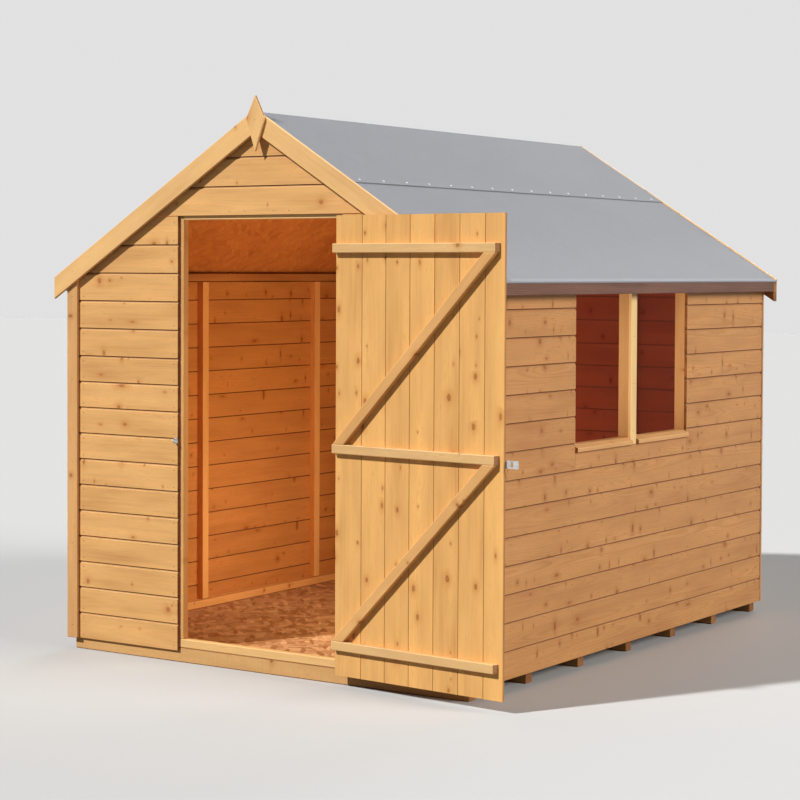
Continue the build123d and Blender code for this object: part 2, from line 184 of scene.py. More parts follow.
class Nodes:
    """Short calls that build the node tree of a new material, or of another owner."""

    def __init__(self, name, owner=None):
        self.material = owner or bpy.data.materials.new(name)
        self.material.use_nodes = True
        self.tree = self.material.node_tree
        self.tree.nodes.clear()

    def new(self, kind, inputs=(), **settings):
        """A node with its settings. Each of its inputs is given another node's output, a number, a
        vector or a colour."""
        node = self.tree.nodes.new(kind)
        for name, value in settings.items():
            setattr(node, name, value)
        for name, value in dict(inputs).items():
            socket = node.inputs[name]
            if isinstance(value, bpy.types.NodeSocket):
                self.tree.links.new(value, socket)
            else:
                socket.default_value = (*value, 1) if socket.type == "RGBA" else value
        return node

    def math(self, operation, a, b=0.0):
        return self.new("ShaderNodeMath", {0: a, 1: b}, operation=operation).outputs[0]

    def product(self, a, b):
        return self.math("MULTIPLY", a, b)

    def centred(self, value):
        """A noise, which lies about a half, brought to lie about 0."""
        return self.math("SUBTRACT", value, 0.5)

    def vector(self, operation, a, b=(0, 0, 0)):
        node = self.new("ShaderNodeVectorMath", {0: a, 1: b}, operation=operation)
        return node.outputs["Value" if operation in ("LENGTH", "DISTANCE") else "Vector"]

    def scaled(self, vector, factors):
        return self.vector("MULTIPLY", vector, factors)

    def times(self, vector, factor):
        node = self.new("ShaderNodeVectorMath", {0: vector, "Scale": factor}, operation="SCALE")
        return node.outputs["Vector"]

    def split(self, vector):
        return self.new("ShaderNodeSeparateXYZ", {0: vector}).outputs

    def joined(self, x, y, z):
        return self.new("ShaderNodeCombineXYZ", {0: x, 1: y, 2: z}).outputs[0]

    def attribute(self, name, output):
        return self.new("ShaderNodeAttribute", attribute_name=name).outputs[output]

    def place(self):
        return self.new("ShaderNodeTexCoord").outputs["Object"]

    def noise(self, vector, scale=1.0, detail=2.0, roughness=0.5, output=0):
        inputs = {"Vector": vector, "Scale": scale, "Detail": detail, "Roughness": roughness}
        return self.new("ShaderNodeTexNoise", inputs).outputs[output]

    def turned(self, vector, angle):
        """A vector turned about Z."""
        inputs = {"Vector": vector, "Angle": math.radians(angle)}
        return self.new("ShaderNodeVectorRotate", inputs, rotation_type="Z_AXIS").outputs[0]

    def cells(self, vector, scale=1.0, dimensions="3D", feature="F1"):
        inputs = {"Vector": vector, "Scale": scale}
        settings = {"voronoi_dimensions": dimensions, "feature": feature}
        return self.new("ShaderNodeTexVoronoi", inputs, **settings).outputs

    def rise(self, value, low, high):
        """0 below low, 1 above high, and smooth between."""
        inputs = {"Value": value, "From Min": low, "From Max": high}
        node = self.new("ShaderNodeMapRange", inputs, interpolation_type="SMOOTHSTEP")
        return node.outputs["Result"]

    def fall(self, value, low, high):
        return self.math("SUBTRACT", 1.0, self.rise(value, low, high))

    def bell(self, value, width):
        """1 at 0, falling away over about that width."""
        ratio = self.math("DIVIDE", value, width)
        square = self.product(ratio, ratio)
        return self.math("EXPONENT", self.product(square, -1.0))

    def mix(self, factor, a, b):
        return self.new("ShaderNodeMix", {"Factor": factor, 6: a, 7: b}, data_type="RGBA").outputs[2]

    def sum(self, *terms):
        """Adds up (factor, value) pairs and plain sockets."""
        total = 0.0
        for term in terms:
            part = self.product(term[1], term[0]) if isinstance(term, tuple) else term
            total = self.math("ADD", total, part)
        return total

    def bump(self, height, distance):
        inputs = {"Height": height, "Distance": distance, "Strength": 1.0}
        return self.new("ShaderNodeBump", inputs).outputs[0]

    def surface(self, colour, roughness, normal, **constants):
        inputs = {"Base Color": colour, "Roughness": roughness, "Normal": normal}
        inputs.update((name.replace("_", " "), value) for name, value in constants.items())
        return self.finish(self.new("ShaderNodeBsdfPrincipled", inputs).outputs[0])

    def mixed_shader(self, factor, a, b):
        return self.new("ShaderNodeMixShader", {0: factor, 1: a, 2: b}).outputs[0]

    def seen(self):
        """1 for rays from the camera, by way of metal or glass too, and 0 for light that bounces."""
        path = self.new("ShaderNodeLightPath").outputs
        straight = self.math("MAXIMUM", path["Is Camera Ray"], path["Is Glossy Ray"])
        return self.math("MAXIMUM", straight, path["Is Transmission Ray"])

    def finish(self, shader):
        self.new("ShaderNodeOutputMaterial", {"Surface": shader})
        return self.material


def timber(name, colours, knots=0.3, contrast=0.12, gloss=0.5, sawn=0.0, spikes=0.8, flecks=0.26,
           mottle=1.0, indoor_shade=None):
    """Pine cut from a log: rings about a pith, knots that push the grain aside, and fine fibre.
    The grain attribute is (along, across, through the board), measured from the pith.
    spikes is how many knots lie across the board instead of along it, flecks is how strong the short
    dark marks are, mottle is how strong the streaks and patches are, and indoors is a painted shade,
    the tint of the faces that look into the shed."""
    light, dark = colours
    n = Nodes(name)
    grain = n.attribute("grain", "Vector")
    tone = n.attribute("tone", "Fac")
    stain_and_light = n.attribute("stain_and_light", "Fac")
    shade = n.attribute("shade", "Fac")
    smudge, heartwood, bark = (
        tuple(c * k for c, k in zip(dark, share)) for share in (knot_halo, knot_middle, knot_edge)
    )
    along, across, deep = n.split(grain)

    # Knots sit in some of the cells of a loose pattern
    knot_spacing = 0.088
    spread = n.joined(
        n.math("DIVIDE", along, knot_spacing), n.math("DIVIDE", across, knot_spacing), 0.0
    )
    cells = n.cells(spread, dimensions="2D")
    offset = n.times(n.vector("SUBTRACT", spread, cells["Position"]), knot_spacing)
    size_pick, there_pick, depth_pick = n.split(cells["Color"])
    ragged = n.noise(grain, 260.0, 1.0)
    lengthways, sideways, _ = n.split(offset)
    crossing = n.product(n.math("POWER", depth_pick, 0.8), spikes)
    lengthways_part = n.product(lengthways, n.sum(0.5, (1.1, crossing)))
    sideways_part = n.product(sideways, n.sum(1.35, (-0.95, crossing)))
    distance = n.vector("LENGTH", n.joined(lengthways_part, sideways_part, 0.0))
    distance = n.product(distance, n.sum(0.55, (0.9, ragged)))
    radius = n.sum(0.0019, (0.0060, n.math("POWER", size_pick, 2.0)))
    absent = n.math("GREATER_THAN", there_pick, knots)
    reach = n.sum(n.math("DIVIDE", distance, radius), (60.0, absent))
    parted = n.product(sideways, n.bell(reach, 3.2))

    # Growth rings about the pith, which wanders along the log
    drift = n.noise(n.scaled(grain, (1.1, 5.0, 5.0)), detail=1.0)
    other_drift = n.noise(n.vector("ADD", n.scaled(grain, (1.4, 6.0, 6.0)), (7, 3, 5)), detail=1.0)
    from_pith = n.joined(
        n.sum(across, n.product(parted, -1.0), (0.035, n.centred(drift))),
        n.sum(deep, (0.035, n.centred(other_drift))),
        0.0,
    )
    ring_distance = n.vector("LENGTH", from_pith)
    along_ring = n.joined(n.product(ring_distance, 55.0), n.product(along, 0.15), 0.0)
    pace = n.noise(along_ring)
    turns = n.math("FRACT", n.sum((260.0, ring_distance), (3.0, pace)))
    late = n.product(n.rise(turns, 0.3, 0.88), n.fall(turns, 0.9, 1.0))

    # Fibre, broad streaks and cloudy patches
    fibre = n.noise(n.scaled(grain, (16.0, 520.0, 520.0)))
    streak = n.noise(n.scaled(grain, (1.8, 75.0, 75.0)), detail=3.0, roughness=0.6)
    cloud = n.noise(n.scaled(grain, (2.6, 15.0, 15.0)))
    fleck = n.noise(n.scaled(grain, (30.0, 270.0, 270.0)), detail=2.0)
    mark = n.rise(n.sum(fleck, (0.35, n.centred(cloud))), 0.62, 0.78)
    saw_mark = n.noise(n.scaled(grain, (420.0, 9.0, 9.0)), detail=1.0)

    ring_strength = n.product(n.sum(contrast, (0.6 * contrast, tone)), late)
    streaky = n.centred(streak)
    colour = n.mix(n.sum(0.25, ring_strength, (1.3, streaky)), light, dark)
    # The shade attribute carries painted highlights and painted shade; a stain below 0 is a painted
    # highlight
    level = n.sum(
        1.0,
        (0.055, tone),
        (0.16, n.centred(fibre)),
        (0.44 * mottle, streaky),
        (0.42 * mottle, n.centred(cloud)),
        (0.25 * sawn, n.centred(saw_mark)),
        (-0.6, n.math("MINIMUM", stain_and_light, 0.0)),
        shade,
    )
    colour = n.times(colour, level)
    # Darker parts, the painted shade among them, turn redder
    darker = n.math("MINIMUM", n.sum(level, -1.0), 0.0)
    colour = n.scaled(colour, n.joined(1.0, n.sum(1.0, (0.5, darker)), n.sum(1.0, (0.75, darker))))

    halo = n.product(n.bell(reach, 3.0), 0.68)
    heart = n.product(n.fall(reach, 0.4, 1.25), 0.8)
    rim = n.product(n.rise(reach, 0.45, 0.9), n.fall(reach, 0.95, 1.5))
    colour = n.mix(halo, colour, smudge)
    colour = n.mix(n.product(mark, flecks), colour, heartwood)
    colour = n.mix(heart, colour, heartwood)
    colour = n.mix(n.product(rim, n.sum(0.15, (0.55, depth_pick))), colour, bark)
    # Painted shade on the faces that look into the shed
    if indoor_shade:
        colour = n.scaled(colour, n.mix(n.attribute("inner", "Fac"), (1.0, 1.0, 1.0), indoor_shade))
    # Stain above 0: joint stain, and painted shade in the hollows
    colour = n.mix(n.product(n.math("MAXIMUM", stain_and_light, 0.0), 0.92), colour, joint_stain_shade_brown)

    roughness = n.sum(gloss, (0.14, n.centred(fibre)), (0.08, late), (-0.1, heart))
    height = n.sum((0.5, fibre), (-0.35, late), (0.9 * sawn, saw_mark), (-0.6, rim), (0.25, streak))
    normal = n.bump(height, 0.00030 + 0.0004 * sawn)
    return n.surface(colour, roughness, normal, Specular_IOR_Level=0.3)


def strand_board(name, colours, spread=1.05):
    """Pressed strands: flat flakes of many directions, lying over each other."""
    light, dark = colours
    n = Nodes(name)
    grain = n.attribute("grain", "Vector")
    along, across, _ = n.split(grain)
    warp = n.times(n.vector("SUBTRACT", n.noise(grain, 14.0, output="Color"), (0.5, 0.5, 0.5)), 0.03)
    bent = n.vector("ADD", n.joined(along, across, 0.0), warp)
    shade = 0.5
    edge = 0.0
    height = 0.0
    for turn, scale in ((12, (11.0, 38.0, 1.0)), (68, (13.0, 44.0, 1.0)), (-41, (16.0, 52.0, 1.0))):
        spun = n.turned(bent, turn)
        flakes = n.cells(n.scaled(spun, scale), dimensions="2D")
        gap = n.cells(n.scaled(spun, scale), dimensions="2D", feature="DISTANCE_TO_EDGE")
        pick_shade, pick_top, pick_other = n.split(flakes["Color"])
        on_top = n.math("GREATER_THAN", pick_top, 0.52)
        below = n.math("SUBTRACT", 1.0, on_top)
        fibre = n.noise(n.scaled(spun, (14.0, 340.0, 1.0)))
        flake_shade = n.sum((spread, pick_shade), (0.5, fibre), 0.225 - 0.5 * spread)
        shade = n.sum(n.product(shade, below), n.product(flake_shade, on_top))
        rim = n.product(n.fall(gap["Distance"], 0.0, 0.07), on_top)
        edge = n.math("MAXIMUM", n.product(edge, below), rim)
        height = n.sum(height, n.product(on_top, pick_other))
    cloud = n.noise(grain, 5.0)
    colour = n.mix(n.sum(shade, (0.7, n.centred(cloud))), dark, light)
    colour = n.mix(n.product(edge, 0.45), colour, dark)
    # The shade attribute: painted highlights and painted shade at eased edges and ends
    colour = n.times(colour, n.sum(1.0, n.attribute("shade", "Fac")))
    normal = n.bump(n.sum(height, (-0.8, edge)), 0.0005)
    return n.surface(colour, n.sum(0.55, (0.15, edge)), normal, Specular_IOR_Level=0.3)


def mineral_felt():
    """Roofing felt: fine crushed mineral on a bitumen sheet, lighter towards the eaves."""
    n = Nodes("mineral felt")
    place = n.place()
    grit = n.cells(place, 900.0)
    speck = n.split(grit["Color"])[0]
    cloud = n.noise(place, 2.2, 3.0)
    patch = n.noise(place, 17.0, 2.0)
    from_middle = n.math("ABSOLUTE", n.split(place)[0])
    lighter_to_eaves = n.rise(from_middle, felt_edge - 0.45, felt_edge)
    # A painted highlight along the fold at the felt's edge
    lip_highlight = n.rise(from_middle, felt_edge - 0.022, felt_edge - 0.006)
    # Painted shade along the line below the cap's edge
    seam_shade = n.bell(n.math("SUBTRACT", from_middle, felt_seam + 0.002), 0.0028)
    level = n.sum(
        1.0,
        (0.30, n.centred(speck)),
        (0.10, n.centred(cloud)),
        (0.07, n.centred(patch)),
        (0.14, lighter_to_eaves),
        (0.25, lip_highlight),
        (-0.38, seam_shade),
    )
    height = n.sum((-1.0, grit["Distance"]), (0.4, n.noise(place, 260.0)))
    roughness = n.sum(0.62, (0.2, speck))
    normal = n.bump(height, 0.0006)
    return n.surface(n.times(felt_grey, level), roughness, normal, Specular_IOR_Level=0.45)


def galvanised(name, dull, bright):
    """Zinc on steel, with its flaky crystals."""
    n = Nodes(name)
    place = n.place()
    flakes = n.cells(place, 160.0)
    pick, other, _ = n.split(flakes["Color"])
    scuff = n.noise(place, 70.0, 4.0)
    colour = n.mix(n.sum((0.7, pick), (0.4, scuff), -0.1), dull, bright)
    roughness = n.sum(0.26, (0.22, other), (0.16, scuff))
    return n.surface(colour, roughness, n.bump(scuff, 0.0002), Metallic=0.85)


def dark_nail():
    n = Nodes("nail steel")
    rust = n.noise(n.place(), 900.0, 3.0)
    colour = n.mix(rust, (0.07, 0.035, 0.018), (0.20, 0.10, 0.05))
    return n.surface(colour, n.sum(0.55, (0.3, rust)), n.bump(rust, 0.0001), Specular_IOR_Level=0.3)


def clear_sheet():
    """Thin clear glazing: nearly all light goes straight through."""
    n = Nodes("clear glazing")
    haze = n.noise(n.place(), 3.0, 2.0)
    roughness = n.sum(0.03, (0.03, haze))
    glossy = n.new("ShaderNodeBsdfGlossy", {"Color": (0.9, 0.95, 1.0), "Roughness": roughness})
    through = n.new("ShaderNodeBsdfTransparent", {"Color": (0.985, 0.99, 0.99)})
    facing = n.new("ShaderNodeLayerWeight", {"Blend": 0.5})
    grazing = n.math("POWER", facing.outputs["Facing"], 5.0)
    share = n.sum(0.003, (0.05, grazing))
    return n.finish(n.mixed_shader(share, through.outputs[0], glossy.outputs[0]))


def pale_floor():
    """A plain floor that is paler to the camera than to the light that bounces off it."""
    n = Nodes("pale floor")
    speck = n.noise(n.place(), 40.0, 3.0)
    sides = []
    for tint in (floor_bounced, floor_seen):
        colour = n.times(tint, n.sum(0.985, (0.03, speck)))
        sides.append(n.new("ShaderNodeBsdfDiffuse", {"Color": colour}).outputs[0])
    return n.finish(n.mixed_shader(n.seen(), *sides))


# Meshes

class Mesh:
    """Gathers pieces of timber into one mesh, with what their material reads."""

    # Its shade values are painted light and shade: on eased edges that face up or sideways, on those
    # that face down, on ends (together with darker end grain), on faces turned to the front, and on
    # timbers above upper_level
    def __init__(self, seed, wear=edge_wear, under=under_edge_shade, ends=end_shade, front=0, upper=0):
        self.random = random.Random(seed)
        self.wear, self.under, self.ends, self.front, self.upper = wear, under, ends, front, upper
        self.points, self.grain, self.tone, self.stain_and_light = [], [], [], []
        self.faces, self.shade, self.inner = [], [], []

    def log(self):
        """Where a new board was cut from: a start along the log, its pith to the side and behind,
        and its tone."""
        along = self.random.uniform(0, 40)
        side = self.random.uniform(-0.07, 0.07)
        behind = self.random.uniform(0.012, 0.085)
        return along, side, behind, self.random.uniform(-1, 1)

    def board(self, rows, cut, place, indoor_shade=1, side_shade=0):
        """A board built of rows across its width: (across, back, front, back and front values of joint
        stain and painted light).
        cut gives its two ends for a place across it, and place turns (along, across, out) into a point.
        indoors is 1 where the board's back faces into the shed and takes the painted indoor shade.
        side_shade is for its long edges."""
        along0, side, behind, tone = self.log()
        middle = (rows[0][0] + rows[-1][0]) / 2
        first = len(self.points)
        # A stain above 0 darkens the board: stain in the joints and painted shade in the cove and the
        # slit; below 0 it is a painted highlight along an eased edge
        for across, back, front, back_stain_light, front_stain_light in rows:
            low, high = cut(across)
            for along, out, stain_and_light in (
                (low, back, back_stain_light), (low, front, front_stain_light),
                (high, front, front_stain_light), (high, back, back_stain_light),
            ):
                self.points.append(place(along, across, out))
                self.grain.append((along0 + along, across - middle + side, out + behind))
                self.tone.append(tone)
                self.stain_and_light.append(stain_and_light)
        for k in range(len(rows) - 1):
            a = first + 4 * k
            b = a + 4
            for i, shade, inner in ((0, end_shade, 0), (1, 0, 0), (2, end_shade, 0), (3, 0, indoor_shade)):
                j = (i + 1) % 4
                self.faces.append((a + i, a + j, b + j, b + i))
                self.shade.append(shade)
                self.inner.append(inner)
        last = first + 4 * (len(rows) - 1)
        self.faces.append((first, first + 1, first + 2, first + 3))
        self.faces.append((last, last + 1, last + 2, last + 3))
        self.shade += [side_shade, side_shade]
        self.inner += [0, 0]

    def dressed(self, solid, arris):
        """Adds a solid mesh with its edges eased, its grain along each of its timbers."""
        bm = bmesh.new()
        bm.from_mesh(solid)
        bmesh.ops.remove_doubles(bm, verts=bm.verts, dist=1e-5)
        bmesh.ops.dissolve_limit(bm, angle_limit=math.radians(1), verts=bm.verts, edges=bm.edges)
        sharp = [e for e in bm.edges if len(e.link_faces) == 2 and e.calc_face_angle() > 0.5]
        eased = bmesh.ops.bevel(
            bm, geom=sharp, offset=arris, segments=2, profile=0.5, affect="EDGES", clamp_overlap=True,
        )
        arrises = set(eased["faces"])
        bmesh.ops.recalc_face_normals(bm, faces=bm.faces)
        for faces in islands(bm):
            self.timber(faces, arrises)
        bm.free()

    def timber(self, faces, arrises):
        edges = {e for f in faces for e in f.edges}
        longest = max(edges, key=lambda e: round(e.calc_length(), 5))
        along_way = (longest.verts[1].co - longest.verts[0].co).normalized()
        if max(along_way, key=abs) < 0:
            along_way = -along_way
        broad = max(faces, key=lambda f: round(f.calc_area() * (1 - abs(f.normal.dot(along_way))), 7))
        deep_way = (broad.normal - along_way * broad.normal.dot(along_way)).normalized()
        across_way = deep_way.cross(along_way)
        verts = sorted({v for f in faces for v in f.verts}, key=lambda v: v.index)
        middle = sum((v.co for v in verts), Vector()) / len(verts)
        along0, side, behind, tone = self.log()
        number = {}
        for v in verts:
            number[v] = len(self.points)
            d = v.co - middle
            self.points.append(tuple(v.co))
            self.grain.append(
                (along0 + d.dot(along_way), side + d.dot(across_way), behind + d.dot(deep_way))
            )
            self.tone.append(tone)
            self.stain_and_light.append(0.0)
        for f in faces:
            self.faces.append(tuple(number[v] for v in f.verts))
            is_end = abs(f.normal.dot(along_way)) > 0.7
            # Eased edges facing up or sideways: a painted highlight, and painted shade where the value
            # is below 0; facing down: painted shade
            arris_shade = self.wear if f.normal.z > -0.3 else self.under
            # Faces turned to the front take the front value: painted shade
            face_shade = self.front if f.normal.y < -0.9 else 0
            shade = self.ends if is_end else arris_shade if f in arrises else face_shade
            # Timbers above upper_level add the upper value: painted light above 0, painted shade below
            # 0
            self.shade.append(shade + (self.upper if middle.z > upper_level else 0))
            self.inner.append(0)

    def piece(self, name, body, material, slot, *nodes):
        mesh = bpy.data.meshes.new(name)
        mesh.from_pydata(self.points, [], self.faces)
        for kind, domain, label, values in (
            ("FLOAT_VECTOR", "POINT", "grain", [c for g in self.grain for c in g]),
            ("FLOAT", "POINT", "tone", self.tone),
            ("FLOAT", "POINT", "stain_and_light", self.stain_and_light),
            ("FLOAT", "FACE", "shade", self.shade),
            ("FLOAT", "FACE", "inner", self.inner),
        ):
            data = mesh.attributes.new(label, kind, domain).data
            data.foreach_set("vector" if kind == "FLOAT_VECTOR" else "value", values)
        bm = bmesh.new()
        bm.from_mesh(mesh)
        bmesh.ops.recalc_face_normals(bm, faces=bm.faces)
        bm.to_mesh(mesh)
        bm.free()
        return shown(name, mesh, body, material, slot, *nodes)


def shown(name, mesh, body, material, slot, *nodes):
    """Puts a mesh in the scene as a piece that rides on a body and stands for some nodes."""
    piece = bpy.data.objects.new(name, mesh)
    bpy.context.scene.collection.objects.link(piece)
    mesh.materials.append(material)
    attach(piece, body)
    if nodes:
        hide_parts(*nodes)
    return piece


def islands(bm):
    """Lists of the faces of each separate solid."""
    bm.faces.index_update()
    bm.verts.index_update()
    left = set(bm.faces)
    found = []
    for start in bm.faces:
        if start not in left:
            continue
        group = []
        stack = [start]
        left.discard(start)
        while stack:
            face = stack.pop()
            group.append(face)
            for edge in face.edges:
                for other in edge.link_faces:
                    if other in left:
                        left.discard(other)
                        stack.append(other)
        found.append(group)
    return found


# Materials

felt_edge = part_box("roof_felt_slopes")[1].x
felt_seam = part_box("roof_felt_cap")[1].x
front_wood = timber("front boards", front_colours, knots=0.34, mottle=1.3, indoor_shade=end_indoor_shade)
side_wood = timber(
    "side boards", side_colours, knots=0.50, contrast=0.22, spikes=1.0, flecks=0.42,
    mottle=1.1, indoor_shade=side_indoor_shade,
)
door_wood = timber("door boards", door_colours, knots=0.27, spikes=0.25, mottle=1.3)
ledge_wood = timber("ledges", ledge_colours, knots=0.20)
brace_wood = timber("braces", brace_colours, knots=0.20)
trim_wood = timber("trim", trim_colours, knots=0.14)
corner_wood = timber("corner strips", corner_colours, knots=0.10)
sill_wood = timber("sills", sill_colours, knots=0.08)
pale_wood = timber("pale trim", pale_colours, knots=0.08)
frame_wood = timber("framing", frame_colours, knots=0.10, sawn=0.3)
indoor_shaded_wood = timber("inner framing, painted shade", indoor_shaded_colours, knots=0.12, sawn=0.4)
lit_stud_wood = timber("left framing, painted light", lit_stud_colours, knots=0.12, sawn=0.3)
bearer_wood = timber("bearers", bearer_colours, knots=0.16, sawn=0.7, gloss=0.7)
eave_wood = timber("eave strip", eave_colours, knots=0.05, contrast=0.5, flecks=0.6, mottle=2.5)
floor_sheet = strand_board("floor board", floor_board_colours)
roof_sheet = strand_board("roof board", roof_board_colours, 0.5)
felt = mineral_felt()
zinc = galvanised("galvanised steel", (0.42, 0.43, 0.44), (0.74, 0.75, 0.76))
clout_zinc = galvanised("clout heads", (0.75, 0.75, 0.76), (0.95, 0.95, 0.96))
nail_steel = dark_nail()
glazing = clear_sheet()


# Sizes read from the frame

wall_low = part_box("front_wall_left")[0]
wall_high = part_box("front_wall_right")[1]
gable_low, gable_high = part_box("front_gable")
half_width = wall_high.x
half_depth = -wall_low.y
inner_x = half_width - board_thick
inner_y = half_depth - board_thick
boards_bottom = wall_low.z
doorway_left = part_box("front_wall_left")[1].x
doorway_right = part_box("front_wall_right")[0].x
doorway_top = gable_low.z
apex = gable_high.z
slope = (apex - doorway_top) / gable_high.x
eave_outside = apex - slope * half_width


# Board walls

def joints(top, gable):
    """Heights of the joints between a wall's boards, its bottom and its top among them."""
    heights = [boards_bottom + k * board_cover for k in range(equal_boards + 1)]
    step = gable_cover if gable else board_cover
    while heights[-1] + step < top - touch:
        heights.append(heights[-1] + step)
    return heights + [top]


def cove():
    """The hollow along a board's upper edge: distance from the edge, depth, and share of the way."""
    for k in range(cove_steps + 1):
        turn = math.pi / 2 * k / cove_steps
        yield cove_height * math.cos(turn), cove_depth * math.sin(turn), k / cove_steps


def board_rows(bottom, top, over, under):
    """Rows of a shiplap board: over says that it laps a board below it, under that one laps it."""
    if over:
        lap = tongue_thick + lap_gap
        shoulder = bottom + tongue_height
        rows = [
            # A painted highlight just above the joint (below 0), and joint stain with painted shade in
            # the slit
            (bottom + joint_gap, lap, board_thick - edge_round, 1.0, 0.9),
            (bottom + joint_gap + edge_round, lap, board_thick, 1.0, -0.35),
            (bottom + joint_gap + 3 * edge_round, lap, board_thick, 1.0, 0.0),
            (shoulder + shoulder_gap, lap, board_thick, 1.0, 0.0),
            (shoulder + shoulder_gap, inner_round, board_thick, 1.0, 0.0),
            (shoulder + inner_line, 0.0, board_thick, 0.9, 0.0),
            (shoulder + inner_fade, 0.0, board_thick, 0.0, 0.0),
        ]
    else:
        rows = [
            (bottom, 0.0, board_thick - edge_round, 0.0, 0.3),
            (bottom + edge_round, 0.0, board_thick, 0.0, 0.0),
        ]
    if not under:
        return rows + [(top, 0.0, board_thick, 0.0, 0.0)]
    # The cove darkens towards its deep end and the tongue in the slit is dark: painted shade under the
    # board above, with joint stain
    rows += [(top - low, 0.0, board_thick - depth, 0.0, share ** 3) for low, depth, share in cove()]
    tip = top + tongue_height
    return rows + [
        (tip - tongue_fade, 0.0, tongue_thick, 0.0, 1.0),
        (tip - tongue_line, 0.0, tongue_thick, 0.9, 1.0),
        (tip, inner_round, tongue_thick, 1.0, 1.0),
    ]


def with_row_at(rows, height):
    """The same rows, with one more at a height where the board's ends turn a corner."""
    for k in range(len(rows) - 1):
        a, b = rows[k], rows[k + 1]
        if a[0] + same_level < height < b[0] - same_level:
            share = (height - a[0]) / (b[0] - a[0])
            between = tuple(p + share * (q - p) for p, q in zip(a, b))
            return rows[: k + 1] + [between] + rows[k + 1 :]
    return rows


def under_roof(height):
    """Half of an end wall's width at a height."""
    return min(half_width, max(0.0, (apex - height) / slope))


def board_wall(name, node, seed, place, cut, bottom, top):
    """The boards of one wall that lie between two heights."""
    gable = place in (front_place, rear_place)
    mesh = Mesh(seed)
    heights = joints(apex if gable else eave_outside, gable)
    for low, high in zip(heights, heights[1:]):
        if high < bottom + touch or low > top - touch:
            continue
        low, high = max(low, bottom), min(high, top)
        over = low > bottom + touch or bottom > boards_bottom + touch
        under = high < top - touch or (not gable and top < eave_outside - touch)
        rows = board_rows(low, high, over, under)
        if gable:
            rows = with_row_at(rows, eave_outside)
            rows = [row for row in rows if row[0] < apex + 1e-6]
        mesh.board(rows, cut, place)
    material, slot = (front_wood, "front_boards") if gable else (side_wood, "side_boards")
    mesh.piece(name, "shed", material, slot, node)


def front_place(along, across, out):
    return along, -inner_y - out, across


def rear_place(along, across, out):
    return along, inner_y + out, across


def left_place(along, across, out):
    return -inner_x - out, along, across


def right_place(along, across, out):
    return inner_x + out, along, across


def make_walls():
    windows_low, windows_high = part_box("window_apron_board")
    lower_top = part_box("right_wall_lower")[1].z

    def gable_ends(z):
        return -under_roof(z), under_roof(z)

    def side_ends(z):
        return -inner_y, inner_y

    for seed, wall in enumerate((
        ("front_boards_left", "front_wall_left", front_place,
         lambda z: (-under_roof(z), doorway_left), boards_bottom, doorway_top),
        ("front_boards_right", "front_wall_right", front_place,
         lambda z: (doorway_right, under_roof(z)), boards_bottom, doorway_top),
        ("gable_boards", "front_gable", front_place, gable_ends, doorway_top, apex),
        ("rear_boards", "rear_wall", rear_place, gable_ends, boards_bottom, apex),
        ("left_boards", "left_wall", left_place, side_ends, boards_bottom, eave_outside),
        ("right_boards_lower", "right_wall_lower", right_place, side_ends, boards_bottom, lower_top),
        ("right_boards_front", "right_wall_front", right_place,
         lambda z: (-inner_y, windows_low.y), lower_top, eave_outside),
        ("right_boards_rear", "right_wall_rear", right_place,
         lambda z: (windows_high.y, inner_y), lower_top, eave_outside),
    ), 11):
        name, node, place, cut, bottom, top = wall
        board_wall(name, node, seed, place, cut, bottom, top)
    apron = Mesh(19)
    apron.board(
        board_rows(lower_top, windows_high.z, True, False),
        lambda z: (windows_low.y + apron_gap, windows_high.y - apron_gap), right_place,
    )
    apron.piece("window_apron", "shed", side_wood, "side_boards", "window_apron_board")


# Door

hinge = frame["joints"][0]
hinge_place = Vector(hinge["pos_m"])
open_turn = Matrix.Translation(hinge_place)
open_turn = open_turn @ Matrix.Rotation(math.radians(-hinge["range_deg"][0]), 4, "Z")
open_turn = open_turn @ Matrix.Translation(-hinge_place)


def closed_box(node):
    """The corners of a door node when the leaf is shut."""
    shut = open_turn.inverted()
    points = [shut @ v.co for v in frame["nodes"][node].data.vertices]
    low = Vector(tuple(min(p[i] for p in points) for i in range(3)))
    high = Vector(tuple(max(p[i] for p in points) for i in range(3)))
    return low, high


leaf_low, leaf_high = closed_box("door_boards")


def ledge_middles():
    """Heights of the middles of the ledges, from their upper and lower faces."""
    levels = sorted({round(v.co.z, 4) for v in frame["nodes"]["door_ledges"].data.vertices})
    return [(low + high) / 2 for low, high in zip(levels[::2], levels[1::2])]


def leaf_rows(left, right, left_is_edge, right_is_edge):
    """Rows of an upright board, from its left edge to its right one. Out is towards the outer face."""
    thick = leaf_high.y - leaf_low.y
    half = leaf_groove / 2
    stain_and_light = leaf_groove_stain
    rows = []
    # Stains below 0 are painted highlights along the eased edges; above 0 they darken the grooves with
    # joint stain and painted shade
    if left_is_edge:
        rows += [
            (left, edge_round, thick - edge_round, -0.4, 0.2),
            (left + edge_round, 0.0, thick, -0.2, 0.0),
        ]
    else:
        rows += [
            (left + half, leaf_groove_depth + lap_gap, leaf_rebate_face, stain_and_light, 1.0),
            (left + half, leaf_groove_depth, thick - edge_round, stain_and_light, 1.0),
            (left + half + leaf_groove_slant, edge_round, thick - edge_round, stain_and_light, 0.8),
            (left + half + edge_round, 0.0, thick, -0.25, 0.2),
            (left + leaf_lap, 0.0, thick, 0.0, 0.0),
        ]
    if right_is_edge:
        rows += [
            (right - edge_round, 0.0, thick, 0.0, 0.0),
            (right, edge_round, thick - edge_round, 0.2, 0.2),
        ]
    else:
        for low, depth, share in cove():
            back, back_stain_light = (edge_round, 0.12) if share == 1 else (0.0, 0.0)
            rows.append((right - half - low, back, thick - depth, back_stain_light, share ** 5))
        rows.append((right - half + leaf_groove_slant, leaf_groove_depth, leaf_tongue_face, stain_and_light, 1.0))
        rows.append((right + leaf_lap, leaf_groove_depth, leaf_tongue_face, stain_and_light, 1.0))
    return rows


